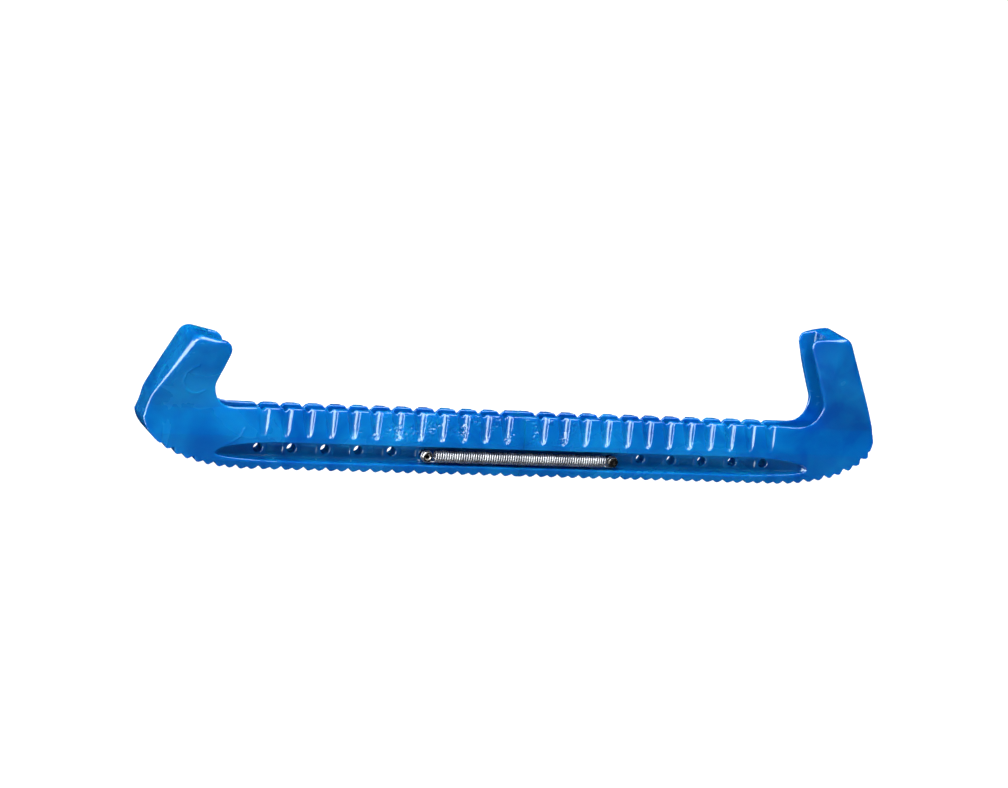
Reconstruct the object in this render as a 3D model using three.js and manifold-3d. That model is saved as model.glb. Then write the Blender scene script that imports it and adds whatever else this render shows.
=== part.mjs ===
// Two-piece sprung blade guard: a heel half and a toe half butt at mid length, and two
// extension springs, hooked over a post through each half, pull them together.
// Millimetres. +X runs from heel to toe, +Y across, +Z up. The tread stands on Z = 0.

import * as THREE from 'three';
import { mergeVertices } from 'three/addons/utils/BufferGeometryUtils.js';
import Module from 'manifold-3d';

const wasm = await Module();
wasm.setup();

// ---- driving dimensions ------------------------------------------------------------

const jointGap = 0.3; // clearance between the two halves where they butt
const touchGap = 0.3; // clearance left between pieces that touch
const halfLength = 171; // joint to the end of each half
const heelTop = 58.4;
const toeTop = 70.2;

// Channel section
const rimHeight = 26.5;
const rimHalfWidth = 5.65;
const faceHalfWidth = 9.2;
const faceTop = 15; // height at which the faces start to lean in
const treadHalfWidth = 6.7;
const treadChamfer = 4.2; // height over which the tread widens to the faces
const slotHalfWidth = 2.6;
const slotFloor = 14.5;

// Side groove that houses the spring
const grooveTop = 12.9;
const grooveBottom = 4.4;
const webHalfWidth = 3.5;
const grooveCorner = 1.3; // chamfer between the groove's web and its walls
const grooveLength = 139;
const grooveTaper = 34; // length over which the groove runs out

// Rim notches and the flutes below them
const notchPitch = 10;
const notchCount = 12;
const firstNotch = 8.4; // joint to the first notch
const notchDepth = 1.7;
const notchWidth = 2.8;
const fluteWidth = 5.8; // across the flute at the rim
const fluteDepth = 2.2; // into the face at the rim
const fluteEndWidth = 3.2;
const fluteEnd = 16.6; // height of the centre of the flute's round end
const fluteFade = [78, 122]; // from the joint, where the flutes start to get shallower, and the end
const fluteShallow = 0.45; // share of the depth that is left there

// Tread
const toothPitch = notchPitch; // one pair of teeth to each notch
const toothPair = [[0, 2.2], [1.2, 0.8], [2.1, 0], [3.1, 0], [4.2, 0.7], [5, 1.4],
  [5.8, 0.7], [6.9, 0], [7.9, 0], [8.8, 0.8]]; // [along the tread, cut depth]
const rockerLength = 49; // length of each end over which the tread curves up

// Row of cross holes; the first takes the spring post
const holePitch = 15;
const holeRadius = 2;
const holeHeight = 8.7;
const postPlace = 43.4; // joint to the post
const postHeight = 8;
const spareHoles = 5;

// Shallow pockets in the groove's web between the holes
const pocketLength = 7.6;
const pocketHeight = 4;
const pocketDepth = 0.6;

// Cups
const cupHalfWidth = 11.75;
const cupEdge = 2.6; // rounding of the cup's outer edges
const mouthHalfWidth = 6.4; // slot between the cup's walls
const mouthBack = [49, 32]; // from the end, where the slot starts to widen and is at its widest
const mouthInside = [28, 10]; // where it starts to narrow again inside the hood, and the end of that
const cupBlendBack = [47, 25]; // where the channel's flanks grow into the cup's
const cupSwell = [13, 58]; // heights between which the cup widens to its full width
const filletBack = 31.2; // from the end, where the cup's inner edge would meet the rim
const filletRadius = 9.5;

// Each cup's own shape: corners are [distance back from the end, height, corner radius]
const heelCup = {
  rockerHeight: 24,
  treadTop: 22.2, // the tread's own line stops here
  toothTop: 10.5, // the teeth stop here and a smooth lip goes on
  outer: [[0.8, 23, 4], [2.8, 31, 10], [18.1, heelTop, 5]],
  inner: [[36.6, heelTop - 4, 4.2], [29.6, rimHeight + 10.5, 6]],
  hood: [[27.5, heelTop - 8.2, 2], [19.5, heelTop - 9.7, 3], [9.2, 30, 6], [12, 20.5, 8]],
  notch: [34.4, 7.2], // centre back from the end, and reach
};
const toeCup = {
  rockerHeight: 22,
  treadTop: 17.5,
  toothTop: 17.5,
  outer: [[0.4, 21, 4], [1.8, 27.3, 8], [22.3, toeTop - 0.3, 5]],
  inner: [[40.3, toeTop - 3.5, 3.3], [28.6, rimHeight + 10.5, 6]],
  hood: [[31, toeTop - 9.2, 2], [25, toeTop - 11.7, 3], [9.5, 27.5, 6], [13, 19.5, 8]],
  notch: [37, 6.6],
};

// Springs and posts
const wire = 1;
const coilRadius = 2.2; // to the middle of the wire
const coilHalfLength = postPlace - coilRadius - 1.2 * wire;
const springSide = 0.45; // clearance between the coil and the web
const springPlace = webHalfWidth + springSide + coilRadius + wire / 2; // off the centre plane
const neckRadius = coilRadius - wire / 2 - touchGap;
const shankRadius = holeRadius - touchGap;
const barrelWall = 0.35; // at the neck
const boreRadius = neckRadius - barrelWall;
const screwRadius = boreRadius - touchGap;
const lipRadius = coilRadius - 0.1;
const headRadius = coilRadius + 0.1;
const lipThickness = 1.1;
const headThickness = 1.3;
const recessWidth = 0.8;
const recessLength = 2.8;
const recessDepth = 0.8;
const screwLength = 11;

const beyond = 20; // how far cutters run past the body they cut

// ---- solids ------------------------------------------------------------------------

function toSolid(geometry) {
  const bare = geometry.clone();
  bare.deleteAttribute('normal');
  bare.deleteAttribute('uv');
  const merged = mergeVertices(bare, 1e-4);
  const mesh = new wasm.Mesh({
    numProp: 3,
    vertProperties: new Float32Array(merged.attributes.position.array),
    triVerts: new Uint32Array(merged.index.array),
  });
  mesh.merge();
  return new wasm.Manifold(mesh);
}

function toGeometry(manifold) {
  const mesh = manifold.getMesh();
  const geometry = new THREE.BufferGeometry();
  geometry.setAttribute('position', new THREE.BufferAttribute(mesh.vertProperties, 3));
  geometry.setIndex(new THREE.BufferAttribute(mesh.triVerts, 1));
  geometry.computeVertexNormals();
  return geometry;
}

function moveVertices(geometry, place) {
  const position = geometry.attributes.position;
  for (let i = 0; i < position.count; i += 1) {
    const moved = place(position.getX(i), position.getY(i), position.getZ(i));
    position.setXYZ(i, ...moved);
  }
  return geometry;
}

// The same piece seen in a mirror, with its faces still outward.
function mirrored(geometry, axis) {
  const scale = { x: 1, y: 1, z: 1, [axis]: -1 };
  const plain = geometry.index ? geometry.toNonIndexed() : geometry.clone();
  plain.scale(scale.x, scale.y, scale.z);
  const position = plain.attributes.position;
  for (let i = 0; i < position.count; i += 3) {
    const second = [position.getX(i + 1), position.getY(i + 1), position.getZ(i + 1)];
    position.setXYZ(i + 1, position.getX(i + 2), position.getY(i + 2), position.getZ(i + 2));
    position.setXYZ(i + 2, ...second);
  }
  plain.deleteAttribute('normal');
  plain.deleteAttribute('uv');
  return mergeVertices(plain, 1e-5);
}

function smoothStep(value, low, high) {
  return THREE.MathUtils.smoothstep(value, low, high);
}

// A side outline in X and Z, extruded across the guard by halfWidth each way.
function across(shape, halfWidth, options = {}) {
  const geometry = new THREE.ExtrudeGeometry(shape, {
    depth: 2 * halfWidth, bevelEnabled: false, curveSegments: 3, ...options,
  });
  geometry.translate(0, 0, -halfWidth);
  geometry.rotateX(Math.PI / 2);
  return geometry;
}

// A section in Y and Z, extruded along +X from start by length in equal steps.
function along(shape, start, length, steps) {
  const geometry = new THREE.ExtrudeGeometry(shape, { depth: length, steps, bevelEnabled: false });
  geometry.translate(0, 0, start);
  const basis = new THREE.Matrix4().makeBasis(
    new THREE.Vector3(0, 1, 0), new THREE.Vector3(0, 0, 1), new THREE.Vector3(1, 0, 0),
  );
  return geometry.applyMatrix4(basis);
}

// A closed outline through corners [x, z, radius], each rounded by an arc of its radius.
function roundedShape(corners) {
  const shape = new THREE.Shape();
  corners.forEach(([x, z, radius = 0], i) => {
    const here = new THREE.Vector2(x, z);
    if (radius === 0) {
      if (i === 0) shape.moveTo(x, z);
      else shape.lineTo(x, z);
      return;
    }
    const before = new THREE.Vector2(...corners.at(i - 1).slice(0, 2));
    const after = new THREE.Vector2(...corners[(i + 1) % corners.length].slice(0, 2));
    const back = before.sub(here).normalize();
    const on = after.sub(here).normalize();
    const half = Math.acos(back.dot(on)) / 2;
    const first = here.clone().addScaledVector(back, radius / Math.tan(half));
    const last = here.clone().addScaledVector(on, radius / Math.tan(half));
    const centre = here.clone().addScaledVector(back.add(on).normalize(), radius / Math.sin(half));
    const turnsLeft = first.clone().sub(here).cross(last.clone().sub(here)) < 0;
    shape.lineTo(first.x, first.y);
    shape.absarc(centre.x, centre.y, radius, first.clone().sub(centre).angle(),
      last.clone().sub(centre).angle(), !turnsLeft);
  });
  return shape;
}

// ---- one half of the guard ----------------------------------------------------------

// The tread's line: flat, then a quarter ellipse up the end.
function treadLine(cup) {
  const flat = halfLength - rockerLength;
  const line = new THREE.CurvePath();
  line.add(new THREE.LineCurve(new THREE.Vector2(0, 0), new THREE.Vector2(flat, 0)));
  line.add(new THREE.EllipseCurve(flat, cup.rockerHeight, rockerLength, cup.rockerHeight,
    -Math.PI / 2, 0));
  return line;
}

// The toothed underside, from the joint to the top of the tread.
function treadPoints(cup) {
  const line = treadLine(cup);
  const total = line.getLength();
  const points = [];
  for (let pair = -1; pair * toothPitch < total; pair += 1) {
    for (const [offset, depth] of toothPair) {
      const distance = firstNotch + pair * toothPitch + offset;
      if (distance <= jointGap / 2 + 0.2 || distance >= total) continue;
      const at = line.getPointAt(distance / total);
      if (at.y > cup.treadTop) continue;
      const tangent = line.getTangentAt(distance / total);
      const cut = at.y > cup.toothTop ? 0 : depth;
      points.push([at.x - tangent.y * cut, at.y + tangent.x * cut]);
    }
  }
  return points;
}

function fromEnd(corners) {
  return corners.map(([back, z, radius]) => [halfLength - back, z, radius]);
}

function sideCorners(cup) {
  const joint = jointGap / 2;
  return [[joint, 0], ...treadPoints(cup), ...fromEnd(cup.outer), ...fromEnd(cup.inner),
    [halfLength - filletBack, rimHeight, filletRadius], [joint, rimHeight]];
}

// Half-width of the outer skin: the channel's section far from the cup, then the cup's.
const lean = [[0.26, 0.22], [0.52, 0.48], [0.78, 0.76], [1, 1]]; // [share of the height, of the narrowing]
const section = [[0, treadHalfWidth], [1.2, treadHalfWidth + 1], [treadChamfer, faceHalfWidth - 0.3],
  [13, faceHalfWidth], [faceTop, faceHalfWidth - 0.1],
  ...lean.map(([up, narrower]) => [THREE.MathUtils.lerp(faceTop, rimHeight, up),
    THREE.MathUtils.lerp(faceHalfWidth, rimHalfWidth, narrower)]),
  ...[3.5, 9.5, 17.5, 27.5, 80].map((above) => [rimHeight + above, rimHalfWidth])];

function cupWidth(z, low) {
  return THREE.MathUtils.lerp(low, cupHalfWidth, smoothStep(z, ...cupSwell));
}

// A section of unit half-width with a corner at each height.
function unitSection(heights) {
  const shape = new THREE.Shape();
  shape.moveTo(1, heights[0]);
  heights.slice(1).forEach((z) => shape.lineTo(1, z));
  [...heights].reverse().forEach((z) => shape.lineTo(-1, z));
  return shape;
}

function skin() {
  const blend = cupBlendBack.map((back) => halfLength - back);
  const geometry = along(unitSection(section.map(([z]) => z)), 0, halfLength + beyond, 48);
  return moveVertices(geometry, (x, y, z) => {
    const level = section.findIndex(([height]) => Math.abs(height - z) < 1e-3);
    const channel = section[level][1];
    const cup = cupWidth(z, Math.min(channel, section[Math.min(level, 3)][1]));
    return [x, y * THREE.MathUtils.lerp(channel, cup, smoothStep(x, ...blend)), z];
  });
}

// The side outline with its edges rounded, clear of the tread and of the channel's skin.
function roundedEdges(cup) {
  const corners = [[-beyond, -beyond], [halfLength, -beyond], [halfLength, cup.outer[0][1], 3],
    ...fromEnd(cup.outer.slice(1)), ...fromEnd(cup.inner),
    [halfLength - filletBack, rimHeight, filletRadius], [-beyond, rimHeight]];
  const geometry = across(roundedShape(corners), cupHalfWidth - cupEdge, {
    bevelEnabled: true, bevelThickness: cupEdge, bevelSize: cupEdge, bevelOffset: -cupEdge,
    bevelSegments: 3,
  });
  return moveVertices(geometry, (x, y, z) => {
    return [x, y * (cupWidth(z, faceHalfWidth) + 0.05) / cupHalfWidth, z];
  });
}

// The blade's slot: narrow along the channel, flared between the cup's walls.
function slot(cup) {
  const mouth = mouthBack.map((back) => halfLength - back);
  const inside = mouthInside.map((back) => halfLength - back);
  const heights = [slotFloor, 18, 21, 24, 27, 30, toeTop + beyond];
  const run = halfLength + 2 * beyond;
  const flared = moveVertices(along(unitSection(heights), -beyond, run, 70), (x, y, z) => {
    const open = smoothStep(x, ...mouth) * (1 - 0.7 * smoothStep(x, ...inside));
    const flare = (mouthHalfWidth - slotHalfWidth) * open * smoothStep(z, slotFloor + 2, 30);
    return [x, y * (slotHalfWidth + flare), z];
  });
  const front = halfLength - cup.hood[0][0];
  const outline = roundedShape([[-beyond, slotFloor - 1], [halfLength - 25, slotFloor - 1, 20],
    ...fromEnd([...cup.hood].reverse()), [front, toeTop + beyond], [-beyond, toeTop + beyond]]);
  return toSolid(flared).intersect(toSolid(across(outline, beyond)));
}

// The rounded notch in the hood's front, open at the top of the cup.
function hoodNotch(cup) {
  const [back, reach] = cup.notch;
  const plan = new THREE.Shape();
  plan.absellipse(halfLength - back, 0, reach, mouthHalfWidth, 0, 2 * Math.PI, false, 0);
  const geometry = new THREE.ExtrudeGeometry(plan, {
    depth: 2 * beyond, bevelEnabled: false, curveSegments: 16,
  });
  geometry.translate(0, 0, cup.inner[0][1] - 12);
  return toSolid(geometry);
}

// One side's groove: a flat web between sloped walls, run out to a point at its end.
function groove(mirror) {
  const middle = postHeight - 0.7; // the height that the groove runs out to
  const corners = [[beyond, grooveBottom], [webHalfWidth + grooveCorner, grooveBottom],
    [webHalfWidth, grooveBottom + grooveCorner], [webHalfWidth, grooveTop - grooveCorner],
    [webHalfWidth + grooveCorner, grooveTop], [beyond, grooveTop]];
  const shape = new THREE.Shape(corners.map(([y, z]) => new THREE.Vector2(y, z)));
  const full = grooveLength - grooveTaper;
  const geometry = moveVertices(along(shape, -grooveTaper, grooveLength + grooveTaper, 60), (x, y, z) => {
    const run = Math.max((x - full) / grooveTaper, 0);
    const keep = Math.max(Math.sqrt(Math.max(1 - run * run, 0)), 0.02);
    const depth = y > beyond - 1 ? y : faceHalfWidth - (faceHalfWidth - y) * keep;
    return [x, depth, middle + (z - middle) * keep];
  });
  return toSolid(mirror ? mirrored(geometry, 'y') : geometry);
}

function crossHole(place, height) {
  const geometry = new THREE.CylinderGeometry(holeRadius, holeRadius, 2 * beyond, 16);
  return toSolid(geometry.translate(place, 0, height));
}

// A V across the rim.
function rimNotch(place) {
  const spread = 1 + 2 / notchDepth;
  const vee = new THREE.Shape([
    new THREE.Vector2(place, rimHeight - notchDepth),
    new THREE.Vector2(place + spread * notchWidth / 2, rimHeight + 2),
    new THREE.Vector2(place - spread * notchWidth / 2, rimHeight + 2),
  ]);
  return toSolid(across(vee, 15));
}

// A scooped flute down the face below a notch. It narrows to a round end, and its floor
// comes up to the face there along a quarter ellipse.
function flute(place, mirror) {
  const over = 3; // how far it runs past the rim
  const fall = rimHeight - fluteEnd;
  const flank = faceHalfWidth - 0.45 - rimHalfWidth;
  const length = Math.hypot(fall, flank);
  const end = fluteEndWidth / 2;
  const full = THREE.MathUtils.lerp(1, fluteShallow, smoothStep(place, ...fluteFade));
  const scoop = new THREE.CapsuleGeometry(1, length + over, 3, 14, 6);
  scoop.rotateY(Math.PI / 14);
  moveVertices(scoop, (x, y, z) => {
    const along = y + (length + over) / 2;
    const rise = along / length;
    const half = THREE.MathUtils.lerp(fluteEndWidth, fluteWidth, rise) / 2;
    const height = along < 0 ? along * end : along;
    const left = Math.min((height + end) / (length + end), 1);
    const depth = fluteDepth * full * Math.sqrt(Math.max(1 - (1 - left) ** 2, 0.01));
    const round = Math.sqrt(Math.max(1 - Math.min(along, 0) ** 2, 0.02));
    return [x * half, height - length, z * depth / round];
  });
  const upward = new THREE.Vector3(0, -flank, fall).normalize();
  const lengthwise = new THREE.Vector3(1, 0, 0);
  const basis = new THREE.Matrix4().makeBasis(lengthwise, upward, lengthwise.clone().cross(upward));
  basis.setPosition(place, rimHalfWidth, rimHeight);
  scoop.applyMatrix4(basis);
  return toSolid(mirror ? mirrored(scoop, 'y') : scoop);
}

// One shallow pocket through both sides of the web.
function pocket(place, side) {
  const geometry = new THREE.BoxGeometry(pocketLength, 2 * pocketDepth, pocketHeight);
  return toSolid(geometry.translate(place, side * webHalfWidth, holeHeight - 0.4));
}

function guardHalf(cup) {
  let body = toSolid(across(roundedShape(sideCorners(cup)), 30));
  body = body.intersect(toSolid(skin())).intersect(toSolid(roundedEdges(cup)));
  body = body.subtract(slot(cup)).subtract(hoodNotch(cup));
  for (const mirror of [false, true]) {
    body = body.subtract(groove(mirror));
    for (let i = 0; i < notchCount; i += 1) {
      body = body.subtract(flute(firstNotch + i * notchPitch, mirror));
    }
  }
  for (let i = 0; i < notchCount; i += 1) {
    body = body.subtract(rimNotch(firstNotch + i * notchPitch));
  }
  body = body.subtract(crossHole(postPlace, postHeight));
  for (let i = 1; i <= spareHoles; i += 1) {
    const place = postPlace + i * holePitch;
    body = body.subtract(crossHole(place, holeHeight));
    for (const side of [-1, 1]) body = body.subtract(pocket(place - holePitch / 2, side));
  }
  return toGeometry(body);
}

// ---- posts and springs --------------------------------------------------------------

const shoulder = springPlace - wire / 2 - touchGap;
const loopOuter = springPlace + wire / 2;
const lipInner = loopOuter + touchGap;

// A tube with a rolled lip at its open end and a neck for a spring's loop at each end.
function barrel() {
  const roll = 0.35;
  const profile = [[boreRadius, -lipInner - lipThickness], [lipRadius - roll, -lipInner - lipThickness],
    [lipRadius, -lipInner - lipThickness + roll], [lipRadius, -lipInner - roll],
    [lipRadius - roll, -lipInner], [neckRadius, -lipInner], [neckRadius, -shoulder],
    [shankRadius, -shoulder], [shankRadius, shoulder], [neckRadius, shoulder],
    [neckRadius, loopOuter], [boreRadius, loopOuter], [boreRadius, -lipInner - lipThickness]];
  return new THREE.LatheGeometry(profile.map(([r, y]) => new THREE.Vector2(r, y)), 24);
}

// A domed head with a cross recess, on a shank that screws into the barrel.
function screw() {
  const face = lipInner + headThickness;
  const dome = 0.4;
  const profile = [[0, lipInner - screwLength], [screwRadius - 0.2, lipInner - screwLength],
    [screwRadius, lipInner - screwLength + 0.3], [screwRadius, lipInner], [headRadius - 0.2, lipInner],
    [headRadius, lipInner + 0.2], [headRadius, face - dome], [headRadius * 0.8, face - dome / 4], [0, face]];
  let body = toSolid(new THREE.LatheGeometry(profile.map(([r, y]) => new THREE.Vector2(r, y)), 24));
  for (const turn of [Math.PI / 4, -Math.PI / 4]) {
    const blade = new THREE.BoxGeometry(recessLength, 2 * recessDepth, recessWidth);
    blade.rotateY(turn);
    body = body.subtract(toSolid(blade.translate(0, face, 0)));
  }
  return toGeometry(body);
}

// A close-wound coil as its sleeve, with a full loop round the post at each end.
function spring() {
  const outer = coilRadius + wire / 2;
  const inner = coilRadius - wire / 2;
  const wall = [[inner, -coilHalfLength], [outer, -coilHalfLength], [outer, coilHalfLength],
    [inner, coilHalfLength], [inner, -coilHalfLength]];
  const sleeve = new THREE.LatheGeometry(wall.map(([r, y]) => new THREE.Vector2(r, y)), 24);
  sleeve.rotateZ(-Math.PI / 2);
  let body = toSolid(sleeve);
  const section = new THREE.Shape();
  section.absarc(0, 0, wire / 2, 0, 2 * Math.PI);
  for (const end of [1, -1]) {
    const turns = 11;
    const points = [new THREE.Vector3(end * (coilHalfLength - 1), 0, -coilRadius)];
    for (let i = 0; i <= turns; i += 1) {
      const angle = i / turns * 1.75 * Math.PI;
      points.push(new THREE.Vector3(end * (postPlace + coilRadius * Math.sin(angle)), 0,
        -coilRadius * Math.cos(angle)));
    }
    const path = new THREE.CatmullRomCurve3(points);
    body = body.add(toSolid(new THREE.ExtrudeGeometry(section, {
      steps: 26, extrudePath: path, curveSegments: 3, bevelEnabled: false,
    })));
  }
  return toGeometry(body);
}

// ---- assembly -----------------------------------------------------------------------

const urethane = { color: 0x0a63c8, roughness: 0.25, metalness: 0 };
const steel = { color: 0xc4c8cc, roughness: 0.25, metalness: 1 };
const group = new THREE.Group();

function add(name, geometry, look, position = [0, 0, 0], turn = 0) {
  const mesh = new THREE.Mesh(geometry, new THREE.MeshStandardMaterial(look));
  mesh.name = name;
  mesh.position.set(...position);
  mesh.rotation.z = turn;
  group.add(mesh);
}

add('heel_guard_half', mirrored(guardHalf(heelCup), 'x'), urethane);
add('toe_guard_half', guardHalf(toeCup), urethane);
add('near_spring', spring(), steel, [0, -springPlace, postHeight]);
add('far_spring', spring(), steel, [0, springPlace, postHeight]);
// The heel post shows its open lip on the near side, the toe post its screw head.
add('heel_post_barrel', barrel(), steel, [-postPlace, 0, postHeight]);
add('heel_post_screw', screw(), steel, [-postPlace, 0, postHeight]);
add('toe_post_barrel', barrel(), steel, [postPlace, 0, postHeight], Math.PI);
add('toe_post_screw', screw(), steel, [postPlace, 0, postHeight], Math.PI);

export default group;
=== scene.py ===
"""Two-piece sprung blade guard: two moulded urethane halves, butted at mid length and
pulled together by an extension spring on each side. Metres, in the frame's own axes:
+X from heel to toe, +Y to the far side, +Z up, and the tread stands on Z = 0."""

import math

import bmesh
import bpy
import numpy as np
from mathutils import Matrix, Vector, noise


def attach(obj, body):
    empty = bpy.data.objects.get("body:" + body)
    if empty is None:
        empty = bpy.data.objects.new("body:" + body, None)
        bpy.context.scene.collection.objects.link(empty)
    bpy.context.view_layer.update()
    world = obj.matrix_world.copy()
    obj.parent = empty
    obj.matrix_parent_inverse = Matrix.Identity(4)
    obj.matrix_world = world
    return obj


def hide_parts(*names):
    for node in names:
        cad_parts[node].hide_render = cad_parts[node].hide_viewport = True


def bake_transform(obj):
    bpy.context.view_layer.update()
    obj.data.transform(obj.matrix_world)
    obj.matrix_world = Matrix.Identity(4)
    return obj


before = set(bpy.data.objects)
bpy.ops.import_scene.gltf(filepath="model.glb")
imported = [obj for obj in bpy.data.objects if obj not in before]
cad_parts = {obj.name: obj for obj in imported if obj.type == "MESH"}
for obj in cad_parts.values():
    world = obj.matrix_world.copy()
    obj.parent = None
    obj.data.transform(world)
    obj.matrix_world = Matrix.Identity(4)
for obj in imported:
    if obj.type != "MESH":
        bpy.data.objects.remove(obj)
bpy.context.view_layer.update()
MM = 0.001

# ---- Camera -------------------------------------------------------------------------
# A long lens on a tall stand to the left of the guard's middle, looking slightly down,
# with the camera leaned over so that the guard falls away to the right.
camera_target = Vector((-9.0, 0, 35.1)) * MM
camera_distance = 1422.7 * MM
camera_yaw = math.radians(22.81)
camera_pitch = math.radians(13.89)
camera_roll = math.radians(7.98)
camera_data = bpy.data.cameras.new("camera")
camera_data.sensor_width = 36
camera_data.lens = 117.59
camera_data.clip_start = 0.05
camera = bpy.data.objects.new("camera", camera_data)
bpy.context.scene.collection.objects.link(camera)
sight = Vector((math.sin(camera_yaw) * math.cos(camera_pitch),
                math.cos(camera_yaw) * math.cos(camera_pitch),
                -math.sin(camera_pitch)))
turn = sight.to_track_quat("-Z", "Y").to_matrix() @ Matrix.Rotation(camera_roll, 3, "Z")
camera.matrix_world = (Matrix.Translation(camera_target - sight * camera_distance)
                       @ turn.to_4x4())
bpy.context.scene.camera = camera


# ---- Studio -------------------------------------------------------------------------
# The guard stands on a matt white acrylic table lit from within, so it throws no shadow.
# Soft boxes stand to the left, above and behind. The wall at the left shows only as gloss,
# and the gloss mirrors neither the table nor the white air around.
def linked(name, mesh):
    piece = bpy.data.objects.new(name, mesh)
    bpy.context.scene.collection.objects.link(piece)
    return piece


def set_inputs(node, **values):
    for name, value in values.items():
        node.inputs[name.replace("_", " ")].default_value = value


table_half = 9.0
table_glow = 1.15
table_mesh = bpy.data.meshes.new("table")
table_mesh.from_pydata([(-table_half, -table_half, 0), (table_half, -table_half, 0),
                        (table_half, table_half, 0), (-table_half, table_half, 0)],
                       [], [(0, 1, 2, 3)])
table = linked("table", table_mesh)
table.visible_glossy = False
table.visible_shadow = False
acrylic = bpy.data.materials.new("lit_white_acrylic")
acrylic.use_nodes = True
table_shader = acrylic.node_tree.nodes["Principled BSDF"]
set_inputs(table_shader, Base_Color=(0.1, 0.1, 0.1, 1), Roughness=0.6,
           Emission_Strength=table_glow)
table_tone = acrylic.node_tree.nodes.new("ShaderNodeTexNoise")
set_inputs(table_tone, Scale=3.0)
table_ramp = acrylic.node_tree.nodes.new("ShaderNodeValToRGB")
table_ramp.color_ramp.elements[0].color = (0.90, 0.90, 0.90, 1)
table_ramp.color_ramp.elements[1].color = (0.95, 0.95, 0.95, 1)
acrylic.node_tree.links.new(table_tone.outputs["Fac"], table_ramp.inputs["Fac"])
acrylic.node_tree.links.new(table_ramp.outputs["Color"], table_shader.inputs["Emission Color"])
table_mesh.materials.append(acrylic)

air = bpy.data.worlds.new("studio_air")
bpy.context.scene.world = air
air.use_nodes = True
set_inputs(air.node_tree.nodes["Background"], Color=(1, 1, 1, 1), Strength=1)
air.cycles_visibility.diffuse = False
air.cycles_visibility.glossy = False
bpy.context.scene.view_settings.view_transform = "Standard"


def soft_box(name, place, aim, width, height, power):
    data = bpy.data.lights.new(name, "AREA")
    data.shape = "RECTANGLE"
    data.size = width
    data.size_y = height
    data.energy = power
    lamp = linked(name, data)
    lamp.location = place
    lamp.rotation_euler = (Vector(aim) - Vector(place)).to_track_quat("-Z", "Y").to_euler()
    return lamp


soft_box("key_box", place=(-0.75, -0.65, 1.05), aim=(0, 0, 0.02),
         width=0.9, height=0.7, power=30)
soft_box("overhead_box", place=(0.4, -0.2, 1.35), aim=(0, 0, 0),
         width=1.3, height=1.0, power=36)
left_wall = soft_box("left_wall", place=(-1.15, -0.3, 0.15), aim=(0, -0.1, 0.05),
                     width=1.8, height=1.3, power=80)
left_wall.visible_diffuse = False
back_box = soft_box("back_box", place=(-0.35, 1.6, 0.95), aim=(0, 0, 0.03),
                    width=1.6, height=0.5, power=24)
back_box.visible_glossy = False

# ---- Moulded halves -----------------------------------------------------------------
# Each half is one injection moulding in pearly, slightly see-through blue urethane. The
# tool's edges are all a little rounded, and the faces near the joint came out pebbly.
same_point = 1e-7  # points nearer each other than this are one
end_face_reach = 0.2 * MM  # the modelled end faces lie nearer the joint than this
butt_spare = 1.5 * MM  # moulded beyond the joint's plane, then cut off square
butt_cut = 0.05 * MM  # from the joint's plane to each half's end face
square_angle = math.radians(60)  # edges sharper than this stay crisp
skin_step = 0.38 * MM  # size of the skin's facets
smooth_share = 0.5
skin_rounds = 1
soft_rounds = 16  # more, for the cups and the groove's web, whose edges are rounder
cup_start = (118 * MM, 126 * MM)  # from the joint
cup_foot = (18 * MM, 23 * MM)  # above the teeth
web_side = (3.6 * MM, 4.3 * MM)  # the groove's web, with its holes and pockets
web_foot = (5.6 * MM, 6.4 * MM)
web_top = (11 * MM, 11.8 * MM)
web_share = 0.8  # of the cups' rounding
least_share = 0.01
wave_height = 0.05 * MM
wave_length = 11 * MM
pebble_height = 0.48 * MM
pebble_length = 0.85 * MM
patch_length = 5 * MM
patch_edge = (-0.25, 0.3)
pebble_reach = {"heel": (60 * MM, 95 * MM), "toe": (6 * MM, 40 * MM)}  # from the joint
face_tilt = (0.35, 0.6)  # how far a face must look sideways to be pebbly
face_side = (4.6 * MM, 5.4 * MM)  # off the guard's middle plane
groove_top = 12.9 * MM  # above the teeth
face_foot = (groove_top + 1 * MM, groove_top + 3 * MM)
flow_height = 0.3 * MM
flow_half_width = 0.55 * MM
flow_side = 7 * MM  # the flow lines are only on the face further out than this
# Where two fronts of the melt met, as (x, height) along the near face of the heel half.
flow_lines = (((-150.1, 45.1), (-152.5, 44), (-155, 41.5), (-155.8, 38), (-154.4, 34.8),
               (-151.9, 32.8), (-148.7, 32.6), (-145.8, 34.1)),
              ((-126.8, 18.1), (-128.4, 15), (-131.3, 12.6), (-134.5, 11.4)))


def applied(piece):
    """The piece with its modifiers worked into its mesh."""
    graph = bpy.context.evaluated_depsgraph_get()
    mesh = bpy.data.meshes.new_from_object(piece.evaluated_get(graph))
    piece.modifiers.clear()
    old = piece.data
    piece.data = mesh
    bpy.data.meshes.remove(old)
    return piece


def fade(value, low, high):
    """None at low and below, all at high and above, with a smooth change between."""
    share = np.clip((value - low) / (high - low), 0, 1)
    return share * share * (3 - 2 * share)


def smoothed(piece, rounds, group=""):
    edges = piece.modifiers.new("soft_edges", "SMOOTH")
    edges.factor = smooth_share
    edges.iterations = rounds
    edges.vertex_group = group
    return applied(piece)


def vertex_places(mesh):
    places = np.empty(len(mesh.vertices) * 3)
    mesh.vertices.foreach_get("co", places)
    return places.reshape(-1, 3)


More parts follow.
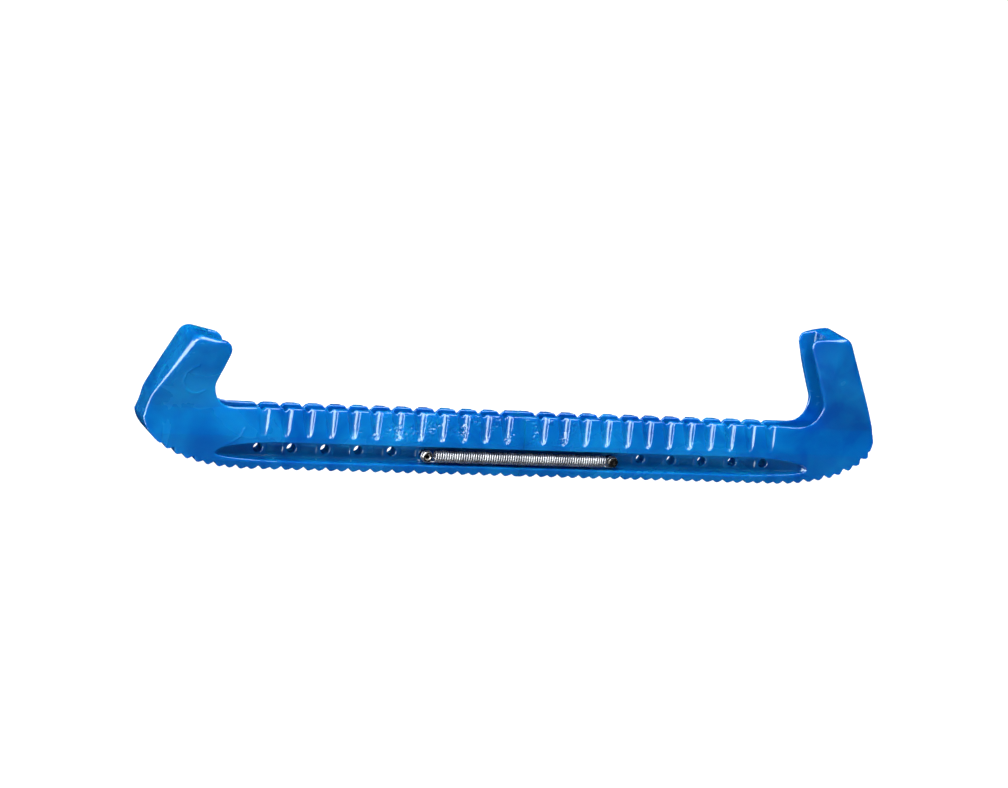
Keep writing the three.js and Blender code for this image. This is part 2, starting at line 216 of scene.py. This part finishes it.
def softened(node, name):
    """The half's skin, moulded a little past the joint for the square cut to come."""
    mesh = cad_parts[node].data.copy()
    piece = linked(name, mesh)
    mesh.materials.clear()
    for vert in mesh.vertices:
        if abs(vert.co.x) < end_face_reach:
            vert.co.x -= math.copysign(butt_spare, vert.co.x)
    skin = piece.modifiers.new("even_skin", "REMESH")
    skin.mode = "VOXEL"
    skin.voxel_size = skin_step
    smoothed(piece, skin_rounds)
    x, y, z = np.abs(vertex_places(piece.data)).T
    in_cup = fade(x, *cup_start) * fade(z, *cup_foot)
    on_web = (1 - fade(y, *web_side)) * fade(z, *web_foot) * (1 - fade(z, *web_top))
    softness = np.maximum(in_cup, on_web * web_share)
    softer = piece.vertex_groups.new(name="softer")
    for index in np.flatnonzero(softness > least_share):
        softer.add([int(index)], float(softness[index]), "REPLACE")
    smoothed(piece, soft_rounds, "softer")
    piece.vertex_groups.clear()
    return piece


def squared_off(piece, side):
    """Cut the end face square, just short of the joint's plane."""
    bm = bmesh.new()
    bm.from_mesh(piece.data)
    cut = bmesh.ops.bisect_plane(bm, geom=bm.verts[:] + bm.edges[:] + bm.faces[:],
                                 dist=same_point, plane_co=(side * butt_cut, 0, 0),
                                 plane_no=(side, 0, 0), clear_inner=True)
    rim = [item for item in cut["geom_cut"] if isinstance(item, bmesh.types.BMEdge)]
    bmesh.ops.triangle_fill(bm, edges=rim, use_beauty=True, normal=(-side, 0, 0))
    bmesh.ops.recalc_face_normals(bm, faces=bm.faces)
    bm.to_mesh(piece.data)
    bm.free()


def ridge(x, z, line):
    """A low ridge beside a line, one at its middle and nothing past its half width."""
    nearest = np.full(len(x), flow_half_width)
    spots = np.stack([x, z], axis=1)
    for start, end in zip(line, line[1:]):
        start, end = np.array(start) * MM, np.array(end) * MM
        share = np.clip((spots - start) @ (end - start) / ((end - start) @ (end - start)), 0, 1)
        gaps = np.linalg.norm(spots - start - share[:, None] * (end - start), axis=1)
        nearest = np.minimum(nearest, gaps)
    return (1 - (nearest / flow_half_width) ** 2) ** 2


def unevenness(piece, end):
    """Slow waves over the whole skin, pebbles near the joint, and the melt's flow lines."""
    mesh = piece.data
    places = vertex_places(mesh)
    normals = np.empty(len(mesh.vertices) * 3, dtype=np.float32)
    mesh.vertex_normals.foreach_get("vector", normals)
    normals = normals.reshape(-1, 3)
    waves, pebbles, patches = (np.array([noise.noise(Vector(p) / length) for p in places])
                               for length in (wave_length, pebble_length, patch_length))
    x, y, z = np.abs(places).T
    on_face = fade(np.abs(normals[:, 1]), *face_tilt) * fade(y, *face_side)
    on_face = on_face * fade(z, *face_foot)
    near_joint = (1 - fade(x, *pebble_reach[end])) * fade(patches, *patch_edge)
    lift = waves * wave_height + pebbles * pebble_height * on_face * near_joint
    near_face = places[:, 1] < -flow_side
    for line in flow_lines:
        lift += ridge(places[:, 0], places[:, 2], line) * flow_height * near_face
    places = places + normals * lift[:, None]
    mesh.vertices.foreach_set("co", places.astype(np.float32).ravel())
    mesh.update()


def mottled(name, speckle, tones, roughness):
    """A finish whose tone and gloss follow one noise. Tones are (place, colour) on its ramp."""
    material = bpy.data.materials.new(name)
    material.use_nodes = True
    nodes = material.node_tree.nodes
    links = material.node_tree.links
    shader = nodes["Principled BSDF"]
    place = nodes.new("ShaderNodeTexCoord")
    spots = nodes.new("ShaderNodeTexNoise")
    set_inputs(spots, **speckle)
    tint = nodes.new("ShaderNodeValToRGB")
    for element, (position, colour) in zip(tint.color_ramp.elements, tones):
        element.position = position
        element.color = (*colour, 1)
    gloss = nodes.new("ShaderNodeMapRange")
    set_inputs(gloss, From_Min=0.3, From_Max=0.7, To_Min=roughness[0], To_Max=roughness[1])
    links.new(place.outputs["Object"], spots.inputs["Vector"])
    links.new(spots.outputs["Fac"], tint.inputs["Fac"])
    links.new(tint.outputs["Color"], shader.inputs["Base Color"])
    links.new(spots.outputs["Fac"], gloss.inputs["Value"])
    links.new(gloss.outputs["Result"], shader.inputs["Roughness"])
    return material


urethane = mottled("pearl_blue_urethane", roughness=(0.2, 0.3),
                   speckle={"Scale": 38, "Detail": 3, "Roughness": 0.5, "Distortion": 1.2},
                   tones=((0.3, (0, 0.064, 0.28)), (0.75, (0, 0.155, 0.41))))
nodes = urethane.node_tree.nodes
links = urethane.node_tree.links
shader = nodes["Principled BSDF"]
set_inputs(shader, Subsurface_Weight=0.7, Subsurface_Radius=(0.03, 0.5, 1.0),
           Subsurface_Scale=0.007, Coat_Weight=0.45, Coat_Roughness=0.12, IOR=1.5,
           Specular_Tint=(0.75, 0.96, 1, 1))
grain = nodes.new("ShaderNodeTexNoise")
set_inputs(grain, Scale=1400, Detail=2)
bump = nodes.new("ShaderNodeBump")
set_inputs(bump, Strength=0.12, Distance=0.2 * MM)
links.new(nodes["Texture Coordinate"].outputs["Object"], grain.inputs["Vector"])
links.new(grain.outputs["Fac"], bump.inputs["Height"])
links.new(bump.outputs["Normal"], shader.inputs["Normal"])

for end, side in (("heel", -1), ("toe", 1)):
    half = softened(end + "_guard_half", end + "_half_moulding")
    unevenness(half, end)
    squared_off(half, side)
    half.data.materials.append(urethane)
    half.data.shade_smooth()
    square_edge = half.modifiers.new("square_edge", "EDGE_SPLIT")
    square_edge.split_angle = square_angle
    applied(half)
    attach(half, end + "_half")
    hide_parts(end + "_guard_half")

# ---- Springs ------------------------------------------------------------------------
# Two close-wound extension springs of bright spring wire, one in each side groove. Each
# end is drawn out from the coil's underside into a loop over its post.
wire_radius = 0.36 * MM  # thin enough for the turns to show apart
coil_radius = 2.33 * MM
coil_half_length = 40 * MM
coil_turns = 74
spring_side = 6.65 * MM  # off the guard's middle plane
post_place = 43.4 * MM
post_height = 8 * MM
tail_lead = math.radians(60)  # left off each end's last turn for the bend to the loop
loop_inset = 1.6 * MM  # from the post back to where the loop starts
bend_pull = 1.1 * MM  # how far the bend runs on before it turns
bend_steps = 8
loop_turn = 1.75 * math.pi  # how far round its post each loop goes
loop_steps = 28
points_per_turn = 20
wire_corners = 12
tip_share = 0.5  # of the wire's radius, how far each cut end bulges


def wire_path():
    """From one loop's tip through the coil to the other loop's tip."""
    path = []
    total = coil_turns * 2 * math.pi - 2 * tail_lead
    steps = coil_turns * points_per_turn
    for i in range(steps + 1):
        angle = math.pi + tail_lead + total * i / steps
        along = -coil_half_length + 2 * coil_half_length * (angle - math.pi) / (
            coil_turns * 2 * math.pi)
        path.append(Vector((along, coil_radius * math.sin(angle), coil_radius * math.cos(angle))))
    for end in (1, -1):
        last = path[-1] if end == 1 else path[0]
        before = path[-2] if end == 1 else path[1]
        onward = (last - before).normalized()
        start = Vector((end * (post_place - loop_inset), 0, -coil_radius))
        leaving = last + onward * bend_pull
        arriving = start - Vector((end * bend_pull, 0, 0))
        bend = []
        for i in range(1, bend_steps):
            t = i / bend_steps
            bend.append(last * (1 - t) ** 3 + leaving * 3 * t * (1 - t) ** 2
                        + arriving * 3 * t * t * (1 - t) + start * t ** 3)
        loop = [start]
        for i in range(loop_steps + 1):
            angle = i / loop_steps * loop_turn
            loop.append(Vector((end * (post_place + coil_radius * math.sin(angle)), 0,
                                -coil_radius * math.cos(angle))))
        path = path + bend + loop if end == 1 else (bend + loop)[::-1] + path
    return path


def drawn_wire(path, radius, corners):
    """A round wire along a path, its ends closed and slightly rounded."""
    bm = bmesh.new()
    rings = []
    side = Vector((0, 0, 1))
    for i, point in enumerate(path):
        onward = (path[min(i + 1, len(path) - 1)] - path[max(i - 1, 0)]).normalized()
        side = (side - onward * side.dot(onward)).normalized()
        other = onward.cross(side)
        rings.append([bm.verts.new(point + radius * (side * math.cos(a) + other * math.sin(a)))
                      for a in (2 * math.pi * k / corners for k in range(corners))])
    for ring, following in zip(rings, rings[1:]):
        for k in range(corners):
            bm.faces.new((ring[k], ring[(k + 1) % corners],
                          following[(k + 1) % corners], following[k]))
    for ring, point, way in ((rings[0][::-1], path[0], path[0] - path[1]),
                             (rings[-1], path[-1], path[-1] - path[-2])):
        tip = bm.verts.new(point + way.normalized() * radius * tip_share)
        for k in range(corners):
            bm.faces.new((ring[k], ring[(k + 1) % corners], tip))
    bmesh.ops.recalc_face_normals(bm, faces=bm.faces)
    mesh = bpy.data.meshes.new("wire")
    bm.to_mesh(mesh)
    bm.free()
    mesh.shade_smooth()
    return mesh


spring_steel = mottled("bright_spring_wire", roughness=(0.24, 0.3),
                       speckle={"Scale": 260, "Detail": 2},
                       tones=((0.3, (0.20, 0.21, 0.23)), (0.7, (0.42, 0.435, 0.46))))
set_inputs(spring_steel.node_tree.nodes["Principled BSDF"], Metallic=0.8)

for side_name, side_sign in (("near", -1), ("far", 1)):
    spring = linked(side_name + "_coil_spring",
                    drawn_wire(wire_path(), wire_radius, wire_corners))
    spring.location = (0, side_sign * spring_side, post_height)
    spring.data.materials.append(spring_steel)
    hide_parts(side_name + "_spring")
    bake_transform(spring)

# ---- Posts --------------------------------------------------------------------------
# Each spring post is a two-part binding screw through the half: a turned barrel, tapped
# inside and with a grooved rolled lip, and a cross-recessed screw run into it. Plated.
round_steps = 48
bore = 1.05 * MM
bore_rim = 0.25 * MM  # the rim round the bore's mouth, and how far it is sunk
rim_sink = 0.05 * MM
neck = 1.4 * MM
shank = 1.7 * MM
lip = 2.1 * MM
head = 2.3 * MM
shoulder = 5.85 * MM
loop_out = 7.15 * MM
lip_start = 7.45 * MM
lip_end = 8.5 * MM
head_end = 8.7 * MM
lip_roll = 0.3 * MM
lip_flank = 0.08 * MM
lip_ease = 0.1 * MM
lip_groove = -0.12 * MM
lip_pitch = 0.25 * MM
tap_depth = 0.15 * MM
tap_stop = 0.4 * MM  # short of the lip's face
thread_pitch = 0.45 * MM
screw_radius = 0.74 * MM
screw_root = -0.12 * MM
screw_tip = -3.5 * MM
point_flat = 0.5 * MM
point_side = 0.72 * MM
point_length = 0.35 * MM
thread_start = 0.4 * MM  # from the screw's tip
thread_stop = 0.3 * MM  # short of its head
head_chamfer = 0.15 * MM
head_dome = 0.4 * MM
dome_ease = 0.1 * MM
dome_steps = 7
dome_fullness = 0.6
recess_width = 0.8 * MM
recess_length = 2.8 * MM
recess_depth = 0.85 * MM
recess_taper = 0.55  # the recess's foot, as a share of its mouth
crisp_angle = math.radians(38)


def turned(name, profile):
    """A piece turned about Y from its profile of (radius, place along Y)."""
    bm = bmesh.new()
    rings = []
    for radius, along in profile:
        if radius == 0:
            rings.append([bm.verts.new((0, along, 0))])
            continue
        rings.append([bm.verts.new((radius * math.cos(a), along, radius * math.sin(a)))
                      for a in (2 * math.pi * k / round_steps for k in range(round_steps))])
    for ring, following in zip(rings, rings[1:]):
        for k in range(round_steps):
            corners = [ring[k % len(ring)], ring[(k + 1) % len(ring)],
                       following[(k + 1) % len(following)], following[k % len(following)]]
            bm.faces.new(list(dict.fromkeys(corners)))
    bmesh.ops.remove_doubles(bm, verts=bm.verts, dist=same_point)
    bmesh.ops.recalc_face_normals(bm, faces=bm.faces)
    mesh = bpy.data.meshes.new(name)
    bm.to_mesh(mesh)
    bm.free()
    return linked(name, mesh)


def threads(radius, depth, start, end, pitch):
    """Crests and roots of a fine thread along a wall."""
    count = round(abs(end - start) / pitch)
    wall = []
    for i in range(count):
        wall.append((radius, start + (end - start) * i / count))
        wall.append((radius + depth, start + (end - start) * (i + 0.5) / count))
    return wall + [(radius, end)]


def barrel(name):
    profile = [(bore + bore_rim, -lip_end + rim_sink), (lip - lip_roll, -lip_end),
               (lip - lip_flank, -lip_end + lip_ease), (lip, -lip_end + lip_roll)]
    profile += threads(lip, lip_groove, -lip_end + lip_roll, -lip_start - lip_ease,
                       lip_pitch)[1:]
    profile += [(lip - lip_ease, -lip_start), (neck, -lip_start), (neck, -shoulder),
                (shank, -shoulder), (shank, shoulder), (neck, shoulder), (neck, loop_out),
                (bore, loop_out)]
    profile += threads(bore, tap_depth, loop_out, -lip_end + tap_stop, thread_pitch)[1:]
    profile.append(profile[0])
    return turned(name, profile)


def cross_screw(name):
    profile = [(0, screw_tip), (point_flat, screw_tip), (point_side, screw_tip + point_length)]
    profile += threads(screw_radius, screw_root, screw_tip + thread_start,
                       lip_start - thread_stop, thread_pitch)
    profile += [(screw_radius, lip_start), (head - head_chamfer, lip_start),
                (head, lip_start + head_chamfer), (head, head_end - head_dome - dome_ease)]
    for i in range(1, dome_steps):
        share = i / dome_steps
        profile.append((head * math.cos(share * math.pi / 2) ** dome_fullness,
                        head_end - head_dome + head_dome * math.sin(share * math.pi / 2)))
    profile.append((0, head_end))
    screw = turned(name, profile)
    for way in (45, -45):
        bm = bmesh.new()
        bmesh.ops.create_cube(bm, size=1)
        for vert in bm.verts:
            taper = 1 if vert.co.y > 0 else recess_taper
            vert.co = Vector((vert.co.x * recess_length * taper, vert.co.y * 2 * recess_depth,
                              vert.co.z * recess_width * taper))
        bm.transform(Matrix.Translation((0, head_end, 0))
                     @ Matrix.Rotation(math.radians(way), 4, "Y"))
        mesh = bpy.data.meshes.new("driver_blade")
        bm.to_mesh(mesh)
        bm.free()
        blade = linked("driver_blade", mesh)
        cut = screw.modifiers.new("recess", "BOOLEAN")
        cut.object = blade
        cut.solver = "EXACT"
        applied(screw)
        bpy.data.objects.remove(blade)
    return screw


plating = mottled("nickel_plated_steel", roughness=(0.34, 0.16),
                  speckle={"Scale": 700, "Detail": 4},
                  tones=((0.35, (0.16, 0.15, 0.13)), (0.65, (0.55, 0.54, 0.52))))
set_inputs(plating.node_tree.nodes["Principled BSDF"], Metallic=1.0)

# The heel post's tapped lip is on the near side, and the toe post is the other way round.
for end, sign, turned_round in (("heel", -1, 0), ("toe", 1, math.pi)):
    for part, made in (("barrel", barrel), ("screw", cross_screw)):
        piece = made(f"{end}_binding_{part}")
        piece.location = (sign * post_place, 0, post_height)
        piece.rotation_euler = (0, 0, turned_round)
        piece.data.materials.append(plating)
        piece.data.shade_smooth()
        crease = piece.modifiers.new("crisp_edges", "EDGE_SPLIT")
        crease.split_angle = crisp_angle
        applied(piece)
        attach(piece, end + "_half")
        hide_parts(f"{end}_post_{part}")
